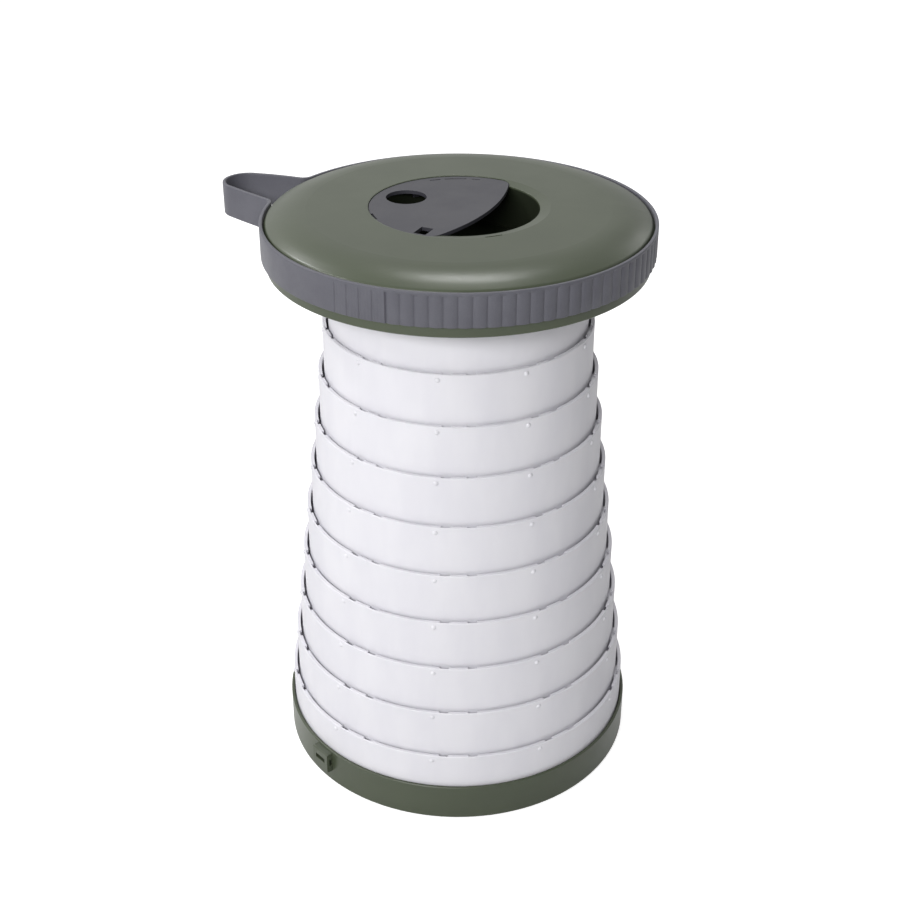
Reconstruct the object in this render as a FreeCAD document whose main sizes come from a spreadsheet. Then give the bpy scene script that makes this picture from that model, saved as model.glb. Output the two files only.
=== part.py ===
import FreeCAD, Part
import math
import os

import Sketcher

# A collapsible telescopic stool. Ten rings slide one inside the next, from the
# narrow ring under the seat to the wide ring in the base. Z is up, the floor
# is at zero, and the rings' common axis is the Z axis.

doc = FreeCAD.newDocument("TelescopicStool")

# Every length is in millimetres and every angle in degrees.
DRIVING_SIZES = {
    # rings
    "ring_radius_top": 84.6,
    "ring_wall": 1.8,
    "ring_gap": 2.16,
    "ring_pitch": 33.6,
    "ring_overlap": 14.6,
    "ring_lift": 0.5,
    "top_ring_length": 57.0,
    "lip_reach": 0.65,
    "lip_depth": 2.4,
    "bead_clearance": 0.3,
    "bead_depth": 3.0,
    "edge_break": 0.5,
    # how far a cut runs on past the stock
    "overcut": 1.0,
    # lock marks and bayonet
    "lock_count": 10,
    "lock_phase": -90.0,
    "lock_twist": 7.0,
    "lug_clearance": 0.3,
    "lug_depth": 3.4,
    "lug_play": 0.4,
    "lug_half_angle": 3.0,
    "ledge_clearance": 0.6,
    "ledge_depth": 1.8,
    "ledge_play": 0.2,
    "ledge_half_angle": 3.0,
    "notch_half_spread": 4.8,
    "notch_width": 6.0,
    "notch_bite": 0.9,
    "stud_radius": 1.7,
    "stud_reach": 1.0,
    "stud_drop": 3.8,
    "stud_turn": -8.5,
    # ring 1 mounting flange
    "mount_flange_width": 10.0,
    "mount_flange_depth": 2.5,
    "ring_screw_count": 8,
    "ring_screw_inset": 6.0,
    # base
    "base_clearance": 0.6,
    "base_wall": 2.2,
    "base_floor": 2.5,
    "base_depth": 26.9,
    "base_edge": 1.6,
    "barb_count": 6,
    "barb_half_width": 5.0,
    "barb_rise": 8.5,
    "barb_depth": 3.0,
    "barb_bite": 1.2,
    "barb_tip_depth": 1.0,
    "barb_clearance": 0.3,
    # feet
    "foot_count": 12,
    "foot_proud": 1.5,
    "foot_sunk": 1.0,
    "foot_inset": 4.0,
    "foot_width": 11.0,
    "foot_half_angle": 6.0,
    "centre_foot_radius": 14.0,
    "foot_clearance": 0.1,
    # strap keeper
    "keeper_angle": 220.9,
    "keeper_half_width": 8.0,
    "keeper_rise": 10.6,
    "keeper_arm": 5.0,
    "keeper_passage": 5.4,
    "keeper_reach": 4.5,
    "keeper_front": 2.0,
    "keeper_seat": 0.05,
    "keeper_slot_half_width": 5.0,
    "keeper_slot_depth": 3.6,
    "keeper_bevel": 0.8,
    "keeper_screw_radius": 1.1,
    "keeper_screw_length": 5.4,
    "keeper_head_radius": 2.0,
    "keeper_head_depth": 1.3,
    "keeper_tip_radius": 0.4,
    "keeper_driver_span": 3.0,
    # seat cover
    "seat_overhang": 38.1,
    "cover_inset": 1.0,
    "crown_radius": 50.0,
    "crown_width": 26.1,
    "edge_radius": 3.0,
    "cover_wall": 3.0,
    "skirt_wall": 3.2,
    "seat_depth": 32.6,
    "recess_lip_radius": 57.6,
    "lip_fall": 1.2,
    "bowl_taper": 7.0,
    "bowl_depth": 26.5,
    "bowl_wall": 2.0,
    "ledge_thickness": 2.5,
    "cover_rib_count": 12,
    "cover_rib_half": 1.0,
    "cover_rib_depth": 13.0,
    # seat underplate
    "flange_inset": 0.7,
    "flange_wall": 2.6,
    "flange_drop": 2.6,
    "flange_rise": 4.1,
    "web_depth": 2.5,
    "collar_clearance": 0.3,
    "collar_wall": 2.2,
    "collar_drop": 7.5,
    "under_rib_count": 20,
    "under_rib_half": 1.0,
    "under_rib_depth": 2.2,
    "boss_radius": 4.0,
    "boss_height": 12.0,
    "boss_sunk": 0.6,
    "seat_screw_outer_count": 10,
    "seat_screw_inset": 18.7,
    "seat_screw_inner_count": 5,
    "screw_row_gap": 13.2,
    "screw_radius": 1.5,
    "screw_hole_clearance": 0.15,
    "screw_length": 12.0,
    "screw_head_radius": 3.0,
    "screw_head_flat": 2.1,
    "screw_head_depth": 2.0,
    "screw_tip_radius": 0.5,
    "driver_slot": 0.9,
    "driver_span": 4.2,
    # grip plate
    "grip_angle": -26.0,
    "grip_inset": 1.2,
    "grip_bearing": 5.4,
    "grip_depth": 2.4,
    "grip_sunk": 0.5,
    "grip_clearance": 0.4,
    "grip_corner_radius": 9.0,
    "crescent_radius": 151.0,
    "crescent_depth": 36.0,
    "thumb_hole_radius": 13.0,
    "thumb_hole_inset": 19.4,
    "window_turn": 270.0,
    "window_inset": 2.0,
    "window_length": 11.4,
    "window_half_width": 4.0,
    "rim_slot_inset": 4.0,
    "rim_slot_width": 1.2,
    "rim_slot_turn_long": 118.0,
    "rim_slot_turn_short": 133.0,
    "rim_slot_turn_tiny": 103.0,
    "rim_slot_half_long": 8.0,
    "rim_slot_half_short": 4.0,
    "rim_slot_half_tiny": 3.0,
    "plate_notch_turn": 226.0,
    "cover_notch_turn": -43.0,
    "edge_notch_half_angle": 5.5,
    "edge_notch_width": 1.4,
    "edge_notch_depth": 1.2,
    "hook_turn_back": 118.0,
    "hook_turn_left": 150.0,
    "hook_turn_front": 248.0,
    "hook_length": 5.4,
    "hook_inset": 2.0,
    "hook_wall": 1.6,
    "hook_barb": 2.0,
    "hook_barb_depth": 1.6,
    "hook_half_width": 3.0,
    "hook_clearance": 0.4,
    "hook_play": 0.1,
    # carry strap
    "strap_clearance": 0.2,
    "strap_wall": 2.1,
    "strap_depth": 21.4,
    "strap_lift": 0.4,
    "strap_key_reach": 1.1,
    "strap_key_depth": 3.0,
    "strap_key_clearance": 0.1,
    "rib_count": 94,
    "rib_copies": 51,
    "rib_start_angle": 84.8,
    "rib_groove_depth": 0.9,
    "rib_groove_half": 0.7,
    "rib_border": 1.7,
    "loop_angle": 150.3,
    "loop_length": 47.1,
    "loop_offset": 11.5,
    "loop_tip_radius": 16.2,
    "loop_leg_angle": 13.2,
    "loop_root_radius": 6.0,
    "key_gap_half_angle": 28.0,
}

RING_COUNT = 10

# Sizes that follow others, so that what fits together stays together. The seat
# follows the rings that carry it, and the recess's parts follow its lip.
DERIVED_SIZES = {
    "base_inner_radius": f"ring_radius_top + {RING_COUNT - 1} * (ring_wall + ring_gap) + base_clearance",
    "base_radius": "base_inner_radius + base_wall",
    "foot_radius_out": "base_radius - foot_inset",
    "foot_radius_in": "foot_radius_out - foot_width",
    "skirt_radius": "ring_radius_top + seat_overhang",
    "cover_radius": "skirt_radius - cover_inset",
    "crown_start": "cover_radius - crown_width",
    "flange_radius": "skirt_radius - flange_inset",
    "ring_screw_radius": "ring_radius_top - ring_wall - ring_screw_inset",
    "seat_screw_outer": "skirt_radius - seat_screw_inset",
    "seat_screw_inner": "ring_screw_radius - screw_row_gap",
    "grip_radius": "recess_lip_radius - grip_inset",
    "bowl_radius_top": "grip_radius - grip_bearing",
    "bowl_radius_foot": "bowl_radius_top - bowl_taper",
    "crescent_apex": "grip_radius - crescent_depth",
    "thumb_hole_offset": "grip_radius - thumb_hole_inset",
    "window_radius_out": "grip_radius - window_inset",
    "window_radius_in": "window_radius_out - window_length",
    "rim_slot_radius_out": "grip_radius - rim_slot_inset",
    "rim_slot_radius_in": "rim_slot_radius_out - rim_slot_width",
    "strap_inner": "skirt_radius + strap_clearance",
    "strap_outer": "strap_inner + strap_wall",
    "loop_reach": "strap_outer + loop_length",
}

sheet = doc.addObject("Spreadsheet::Sheet", "Sizes")
for row, (alias, number) in enumerate(DRIVING_SIZES.items(), start=1):
    sheet.set(f"A{row}", alias)
    sheet.set(f"B{row}", str(number))
    sheet.setAlias(f"B{row}", alias)
doc.recompute()

# Two lengths nearer than this are the same.
CLOSE = 0.01


def named(expression):
    """Point every word of an expression that is a size at the sheet."""
    words = []
    token = ""
    for letter in expression + " ":
        if letter.isalnum() or letter == "_":
            token += letter
            continue
        if token in DERIVED_SIZES:
            token = f"({named(DERIVED_SIZES[token])})"
        elif token in DRIVING_SIZES:
            token = f"Sizes.{token}"
        words.append(token)
        words.append(letter)
        token = ""
    return "".join(words).strip()


def value(expression):
    """Work out an expression of sizes as a plain number."""
    result = sheet.evalExpression(named(expression))
    return float(getattr(result, "Value", result))


def bind(item, prop, expression):
    """Tie a property of an object to an expression of sizes."""
    item.setExpression(prop, named(expression))


# Derived lengths that several pieces share.
RING_STEP = "(ring_wall + ring_gap)"
RING_LENGTH = "(ring_pitch + ring_overlap)"
BASE_RING_LENGTH = f"({RING_LENGTH} + ring_lift)"
STAND = "(foot_proud + base_floor)"
WEB_LEVEL = f"({STAND} + ring_lift + {RING_COUNT - 1} * ring_pitch + top_ring_length)"
COVER_LEVEL = f"({WEB_LEVEL} + web_depth)"
COVER_HEIGHT = "(seat_depth - web_depth)"
SKIRT_FOOT = "(flange_rise - web_depth)"
GRIP_LEDGE = f"({COVER_HEIGHT} - grip_sunk - grip_depth)"
STRAP_LEVEL = f"({WEB_LEVEL} + flange_rise + strap_lift)"
CRESCENT_CENTRE = "(crescent_radius - crescent_apex)"
SCREW_HOLE = "(screw_radius + screw_hole_clearance)"
SCREW_TURN = "180 / under_rib_count"
HOOK_FACE = "(bowl_radius_top - hook_inset)"
LEG_FOOT = "(strap_inner - 4 * strap_wall)"

# The keeper's levels above the underside of the base pan.
KEEPER_LOW_SCREW = "(keeper_rise + keeper_arm / 2)"
KEEPER_HIGH_SCREW = "(keeper_rise + keeper_arm * 1.5 + keeper_passage)"
KEEPER_TOP = "(keeper_rise + 2 * keeper_arm + keeper_passage)"

# The grip plate's snap hooks, as turns from the plate's own axis, and the
# shallow slots near its rim, as turns and half angles.
HOOK_TURNS = ("hook_turn_back", "hook_turn_left", "hook_turn_front")
RIM_SLOTS = (("rim_slot_turn_long", "rim_slot_half_long"),
             ("rim_slot_turn_short", "rim_slot_half_short"),
             ("rim_slot_turn_tiny", "rim_slot_half_tiny"))


def new_body(label, level="0", turn=None):
    """Start a body whose own zero is at a level above the floor."""
    body = doc.addObject("PartDesign::Body", label)
    body.Label = label
    if turn is not None:
        body.Placement = FreeCAD.Placement(
            FreeCAD.Vector(), FreeCAD.Rotation(FreeCAD.Vector(0, 0, 1), 1))
        bind(body, "Placement.Rotation.Angle", turn)
    bind(body, "Placement.Base.z", level)
    return body


def origin_feature(body, role):
    """Find one of a body's own planes or axes."""
    for feature in body.Origin.OriginFeatures:
        if feature.Role == role:
            return feature
    raise ValueError(role)


def flat_sketch(body, name, level="0", turn=None):
    """Add a level sketch, its X axis turned about Z."""
    sketch = body.newObject("Sketcher::SketchObject", name)
    sketch.AttachmentSupport = [(origin_feature(body, "XY_Plane"), "")]
    sketch.MapMode = "FlatFace"
    if turn is not None:
        sketch.AttachmentOffset = FreeCAD.Placement(
            FreeCAD.Vector(), FreeCAD.Rotation(FreeCAD.Vector(0, 0, 1), 1))
        bind(sketch, "AttachmentOffset.Rotation.Angle", turn)
    bind(sketch, "AttachmentOffset.Base.z", level)
    return sketch


def radial_sketch(body, name, turn=None):
    """Add an upright sketch: X is the radius at an angle about Z, Y is up."""
    sketch = body.newObject("Sketcher::SketchObject", name)
    sketch.AttachmentSupport = [(origin_feature(body, "XZ_Plane"), "")]
    sketch.MapMode = "FlatFace"
    if turn is not None:
        sketch.AttachmentOffset = FreeCAD.Placement(
            FreeCAD.Vector(), FreeCAD.Rotation(FreeCAD.Vector(0, 1, 0), 1))
        bind(sketch, "AttachmentOffset.Rotation.Angle", turn)
    return sketch


def hold(sketch, constraint, expression=None):
    """Add a constraint and tie its number to an expression."""
    index = sketch.addConstraint(constraint)
    if expression is not None:
        bind(sketch, f"Constraints[{index}]", expression)
    return index


def hold_point(sketch, edge, end, across, up):
    """Fix a point of an edge at two expressions, from the sketch's zero."""
    for kind, expression in (("DistanceX", across), ("DistanceY", up)):
        if expression == "0":
            axis = -2 if kind == "DistanceX" else -1
            hold(sketch, Sketcher.Constraint("PointOnObject", edge, end, axis))
            continue
        hold(sketch, Sketcher.Constraint(kind, -1, 1, edge, end, value(expression)), expression)


def outline(sketch, corners, arcs=None):
    """Draw a closed outline.

    Each corner is a pair of expressions. arcs gives, by the number of the
    corner that a side starts from, a radius expression and the turn of that
    side: 1 anticlockwise and -1 clockwise.
    """
    arcs = arcs or {}
    places = [FreeCAD.Vector(value(across), value(up), 0) for across, up in corners]
    count = len(corners)
    edges = []
    for number in range(count):
        start = places[number]
        end = places[(number + 1) % count]
        if number not in arcs:
            edges.append(sketch.addGeometry(Part.LineSegment(start, end), False))
            continue
        radius_expression, turn = arcs[number]
        radius = value(radius_expression)
        chord = end.sub(start)
        half = chord.Length / 2
        height = math.sqrt(max(radius * radius - half * half, 0))
        middle = start.add(end).multiply(0.5)
        side = FreeCAD.Vector(-chord.y, chord.x, 0).normalize().multiply(height * turn)
        centre = middle.add(side)
        circle = Part.Circle(centre, FreeCAD.Vector(0, 0, 1), radius)
        first, last = (start, end) if turn > 0 else (end, start)
        from_angle = math.atan2(first.y - centre.y, first.x - centre.x)
        to_angle = math.atan2(last.y - centre.y, last.x - centre.x)
        edges.append(sketch.addGeometry(Part.ArcOfCircle(circle, from_angle, to_angle), False))
    for number, (across, up) in enumerate(corners):
        turned = number in arcs and arcs[number][1] < 0
        hold_point(sketch, edges[number], 2 if turned else 1, across, up)
        if number in arcs:
            radius_expression = arcs[number][0]
            hold(sketch, Sketcher.Constraint("Radius", edges[number], value(radius_expression)),
                 radius_expression)
    for number in range(count):
        following = (number + 1) % count
        turned = number in arcs and arcs[number][1] < 0
        next_turned = following in arcs and arcs[following][1] < 0
        hold(sketch, Sketcher.Constraint(
            "Coincident", edges[number], 1 if turned else 2, edges[following], 2 if next_turned else 1))
    return edges


def box_outline(sketch, low_across, high_across, low_up, high_up):
    """Draw a rectangle between two expressions each way."""
    return outline(sketch, [(low_across, low_up), (high_across, low_up),
                            (high_across, high_up), (low_across, high_up)])


def circle_outline(sketch, across, up, radius):
    """Draw a circle at a place, all by expressions."""
    centre = FreeCAD.Vector(value(across), value(up), 0)
    edge = sketch.addGeometry(
        Part.Circle(centre, FreeCAD.Vector(0, 0, 1), value(radius)), False)
    if across == "0" and up == "0":
        hold(sketch, Sketcher.Constraint("Coincident", edge, 3, -1, 1))
    else:
        hold_point(sketch, edge, 3, across, up)
    hold(sketch, Sketcher.Constraint("Radius", edge, value(radius)), radius)
    return edge


def lens_outline(sketch, growth):
    """Draw the grip plate's outline: its rim, cut by the crescent's arc, with round corners."""
    rim = f"grip_radius + {growth}"
    arc = f"crescent_radius + {growth}"
    corner = f"grip_corner_radius + {growth}"
    rim_radius = value(rim)
    arc_radius = value(arc)
    corner_radius = value(corner)
    behind = value(CRESCENT_CENTRE)
    across = ((arc_radius - corner_radius) ** 2 - (rim_radius - corner_radius) ** 2
              - behind ** 2) / (2 * behind)
    side = math.sqrt((rim_radius - corner_radius) ** 2 - across ** 2)
    rim_angle = math.atan2(side, across)
    arc_angle = math.atan2(side, across + behind)
    edges = []
    for centre, radius, first, last in (
            ((0, 0), rim_radius, rim_angle, 2 * math.pi - rim_angle),
            ((across, -side), corner_radius, -rim_angle, -arc_angle),
            ((-behind, 0), arc_radius, -arc_angle, arc_angle),
            ((across, side), corner_radius, arc_angle, rim_angle)):
        circle = Part.Circle(FreeCAD.Vector(*centre, 0), FreeCAD.Vector(0, 0, 1), radius)
        edges.append(sketch.addGeometry(Part.ArcOfCircle(circle, first, last), False))
    rim_edge, low_corner, arc_edge, high_corner = edges
    hold(sketch, Sketcher.Constraint("Coincident", rim_edge, 3, -1, 1))
    hold(sketch, Sketcher.Constraint("PointOnObject", arc_edge, 3, -1))
    hold(sketch, Sketcher.Constraint("DistanceX", arc_edge, 3, -1, 1, behind), CRESCENT_CENTRE)
    for edge, radius in ((rim_edge, rim), (arc_edge, arc), (low_corner, corner), (high_corner, corner)):
        hold(sketch, Sketcher.Constraint("Radius", edge, value(radius)), radius)
    for edge, following in zip(edges, edges[1:] + edges[:1]):
        hold(sketch, Sketcher.Constraint("Tangent", edge, 2, following, 1))


def revolve(body, name, sketch):
    """Turn a sketch once round the Z axis as added stock."""
    feature = body.newObject("PartDesign::Revolution", name)
    feature.Profile = sketch
    feature.ReferenceAxis = (sketch, ["V_Axis"])
    feature.Angle = 360
    return feature


def turn_level(body, kind, name, sketch, level, reach):
    """Turn an upright sketch about a level line at a height, as stock or as a hole."""
    axis_line = sketch.addGeometry(Part.LineSegment(
        FreeCAD.Vector(0, value(level), 0), FreeCAD.Vector(value(reach), value(level), 0)), True)
    hold_point(sketch, axis_line, 1, "0", level)
    hold_point(sketch, axis_line, 2, reach, level)
    feature = body.newObject(f"PartDesign::{kind}", name)
    feature.Profile = sketch
    feature.ReferenceAxis = (sketch, ["Axis0"])
    feature.Angle = 360
    return feature


def pad(body, name, sketch, length, midplane=False):
    """Push a sketch out as added stock."""
    feature = body.newObject("PartDesign::Pad", name)
    feature.Profile = sketch
    feature.Midplane = midplane
    bind(feature, "Length", length)
    return feature


def pocket(body, name, sketch, length, upwards=False, midplane=False):
    """Cut a sketch out, down from it, up from it or both ways."""
    feature = body.newObject("PartDesign::Pocket", name)
    feature.Profile = sketch
    feature.Midplane = midplane
    feature.Reversed = upwards
    bind(feature, "Length", length)
    return feature


def repeat(body, name, features, copies, angle=None):
    """Repeat features round the Z axis, once round or by an angle a copy."""
    pattern = body.newObject("PartDesign::PolarPattern", name)
    pattern.Originals = features
    pattern.Axis = (origin_feature(body, "Z_Axis"), [""])
    bind(pattern, "Occurrences", copies)
    if angle is None:
        pattern.Angle = 360
    else:
        bind(pattern, "Angle", angle)
    body.Tip = pattern
    return pattern


def sector_outline(sketch, inner, outer, half_angle):
    """Draw a piece of a ring, both sides of the sketch's X axis."""
    near = (f"({inner}) * cos({half_angle})", f"({inner}) * sin({half_angle})")
    far = (f"({outer}) * cos({half_angle})", f"({outer}) * sin({half_angle})")
    corners = [(near[0], f"-{near[1]}"), (far[0], f"-{far[1]}"), far, near]
    outline(sketch, corners, {1: (outer, 1), 3: (inner, -1)})


def build_ring(number):
    """Make one ring: 1 is the narrow ring under the seat, 10 stands in the base."""
    first = number == 1
    last = number == RING_COUNT
    radius = f"(ring_radius_top + {number - 1} * {RING_STEP})"
    inner = f"({radius} - ring_wall)"
    if last:
        length = BASE_RING_LENGTH
        level = STAND
    else:
        length = "top_ring_length" if first else RING_LENGTH
        level = f"{STAND} + ring_lift + {RING_COUNT - number} * ring_pitch"
    body = new_body(f"ring_{number:02d}", level)

    section = radial_sketch(body, "Section")
    foot = [(inner, "0"), (radius, "0")]
    if not last:
        bead = f"({radius} + ring_gap - bead_clearance)"
        foot = [(inner, "0"), (f"{bead} - edge_break", "0"), (bead, "edge_break"),
                (bead, "bead_depth"), (radius, "bead_depth + ring_gap - bead_clearance")]
    head = [(radius, f"{length} - edge_break"), (f"{radius} - edge_break", length)]
    if first:
        bore = f"({inner} - mount_flange_width)"
        head += [(bore, length), (bore, f"{length} - mount_flange_depth"),
                 (inner, f"{length} - mount_flange_depth")]
    else:
        lip = f"({inner} - lip_reach)"
        head += [(lip, length), (lip, f"{length} - lip_depth + lip_reach"),
                 (inner, f"{length} - lip_depth")]
    outline(section, foot + head)
    revolve(body, "Wall", section)

    marks = []
    if not first:
        for side, name in ((-1, "NotchLeft"), (1, "NotchRight")):
            notch = flat_sketch(body, f"{name}Shape", length,
                                f"lock_phase + {side} * notch_half_spread")
            box_outline(notch, f"{inner} - 2 * lip_reach", f"{inner} + notch_bite",
                        "-notch_width / 2", "notch_width / 2")
            marks.append(pocket(body, name, notch, "lip_depth"))
        ledge = flat_sketch(body, "LedgeShape", f"{length} - lip_depth - lug_play - lug_depth - ledge_play",
                            "lock_phase")
        sector_outline(ledge, f"{inner} - ring_gap + ledge_clearance", f"{inner} + ring_wall / 2",
                       "ledge_half_angle")
        shelf = pad(body, "Ledge", ledge, "ledge_depth")
        shelf.Reversed = True
        marks.append(shelf)
        stud = radial_sketch(body, "StudShape", "lock_phase + stud_turn")
        stud_level = f"({length} - stud_drop)"
        root = f"({inner} + ring_wall / 2)"
        outline(stud, [(root, stud_level), (f"{radius} + stud_reach", stud_level),
                       (radius, f"{stud_level} + stud_radius"),
                       (root, f"{stud_level} + stud_radius")],
                {1: ("(stud_reach ^ 2 + stud_radius ^ 2) / (2 * stud_reach)", 1)})
        marks.append(turn_level(body, "Revolution", "Stud", stud, stud_level, root))
    if not last:
        lug = flat_sketch(body, "LugShape", "ring_overlap - lip_depth - lug_play",
                          "lock_phase + lock_twist")
        sector_outline(lug, f"{radius} - ring_wall / 2", f"{radius} + ring_gap - lug_clearance",
                       "lug_half_angle")
        block = pad(body, "Lug", lug, "lug_depth")
        block.Reversed = True
        marks.append(block)
    doc.recompute()
    repeat(body, "LockMarks", marks, "lock_count")

    if first:
        holes = flat_sketch(body, "FlangeHoleShape", length)
        circle_outline(holes, "ring_screw_radius", "0", SCREW_HOLE)
        hole = pocket(body, "FlangeHole", holes, "mount_flange_depth")
        doc.recompute()
        repeat(body, "FlangeHoles", [hole], "ring_screw_count")
    if last:
        window = radial_sketch(body, "SnapWindowShape")
        box_outline(window, f"{inner} - ring_wall", f"{radius} + ring_wall",
                    "barb_rise - base_floor - barb_clearance",
                    "barb_rise - base_floor + barb_depth + barb_clearance")
        cut = pocket(body, "SnapWindow", window, "2 * barb_half_width + 2 * barb_clearance", midplane=True)
        doc.recompute()
        repeat(body, "SnapWindows", [cut], "barb_count")
    return body


def build_base_pan():
    """Make the pan that ring 10 stands in, with its snap barbs and foot sockets."""
    body = new_body("base_pan", "foot_proud")
    section = radial_sketch(body, "Section")
    outline(section, [
        ("0", "0"), ("base_radius - base_edge", "0"), ("base_radius", "base_edge"),
        ("base_radius", "base_depth - edge_break"), ("base_radius - edge_break", "base_depth"),
        ("base_inner_radius + edge_break", "base_depth"),
        ("base_inner_radius", "base_depth - edge_break"),
        ("base_inner_radius", "base_floor"), ("0", "base_floor")], {1: ("base_edge", 1)})
    revolve(body, "Pan", section)

    barb = radial_sketch(body, "BarbShape")
    tip = "(base_inner_radius - base_clearance - barb_bite)"
    outline(barb, [
        ("base_inner_radius + base_wall / 2", "barb_rise"), (tip, "barb_rise"),
        (tip, "barb_rise + barb_tip_depth"),
        ("base_inner_radius", "barb_rise + barb_depth"),
        ("base_inner_radius + base_wall / 2", "barb_rise + barb_depth")])
    hook = pad(body, "Barb", barb, "2 * barb_half_width", midplane=True)
    doc.recompute()
    repeat(body, "Barbs", [hook], "barb_count")

    socket = flat_sketch(body, "FootSocketShape")
    sector_outline(socket, "foot_radius_in", "foot_radius_out", "foot_half_angle")
    cut = pocket(body, "FootSocket", socket, "foot_sunk", upwards=True)
    doc.recompute()
    repeat(body, "FootSockets", [cut], "foot_count")
    centre = flat_sketch(body, "CentreSocketShape")
    circle_outline(centre, "0", "0", "centre_foot_radius")
    pocket(body, "CentreSocket", centre, "foot_sunk", upwards=True)

    for name, level in (("Lower", KEEPER_LOW_SCREW), ("Upper", KEEPER_HIGH_SCREW)):
        hole = radial_sketch(body, f"{name}ScrewShape", "keeper_angle")
        outline(hole, [
            ("base_inner_radius - keeper_head_depth", level),
            ("base_radius + overcut", level),
            ("base_radius + overcut", f"{level} + keeper_screw_radius"),
            ("base_inner_radius + keeper_head_depth", f"{level} + keeper_screw_radius"),
            ("base_inner_radius", f"{level} + keeper_head_radius"),
            ("base_inner_radius - keeper_head_depth", f"{level} + keeper_head_radius")])
        turn_level(body, "Groove", f"{name}Screw", hole, level, "base_inner_radius")
    return body


def build_strap_keeper():
    """Make the bracket on the base wall: two arms, a front with a slot, a passage behind."""
    body = new_body("strap_keeper", "foot_proud")
    section = radial_sketch(body, "Section", "keeper_angle")
    front = "(base_radius + keeper_reach)"
    back = "(base_radius - overcut)"
    passage_low = "(keeper_rise + keeper_arm)"
    passage_high = "(keeper_rise + keeper_arm + keeper_passage)"
    outline(section, [
        (back, "keeper_rise"), (f"{front} - keeper_bevel", "keeper_rise"),
        (front, "keeper_rise + keeper_bevel"), (front, f"{KEEPER_TOP} - keeper_bevel"),
        (f"{front} - keeper_bevel", KEEPER_TOP), (back, KEEPER_TOP), (back, passage_high),
        (f"{front} - keeper_front", passage_high), (f"{front} - keeper_front", passage_low),
        (back, passage_low)])
    pad(body, "Block", section, "2 * keeper_half_width", midplane=True)
    slot = radial_sketch(body, "SlotShape", "keeper_angle")
    slot_middle = f"({passage_high} - keeper_slot_depth / 2)"
    box_outline(slot, f"{front} - keeper_front - overcut", f"{front} + overcut",
                f"{slot_middle} - keeper_slot_depth / 2", f"{slot_middle} + keeper_slot_depth / 2")
    pocket(body, "Slot", slot, "2 * keeper_slot_half_width", midplane=True)
    wall = flat_sketch(body, "WallShape")
    circle_outline(wall, "0", "0", "base_radius + keeper_seat")
    pocket(body, "WallSeat", wall, f"{KEEPER_TOP} + overcut", upwards=True)
    for name, level in (("Lower", KEEPER_LOW_SCREW), ("Upper", KEEPER_HIGH_SCREW)):
        hole = radial_sketch(body, f"{name}HoleShape", "keeper_angle")
        outline(hole, [
            (back, level), ("base_inner_radius + keeper_screw_length", level),
            ("base_inner_radius + keeper_screw_length", f"{level} + keeper_screw_radius"),
            (back, f"{level} + keeper_screw_radius")])
        turn_level(body, "Groove", f"{name}Hole", hole, level, "base_inner_radius")
    return body


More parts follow.
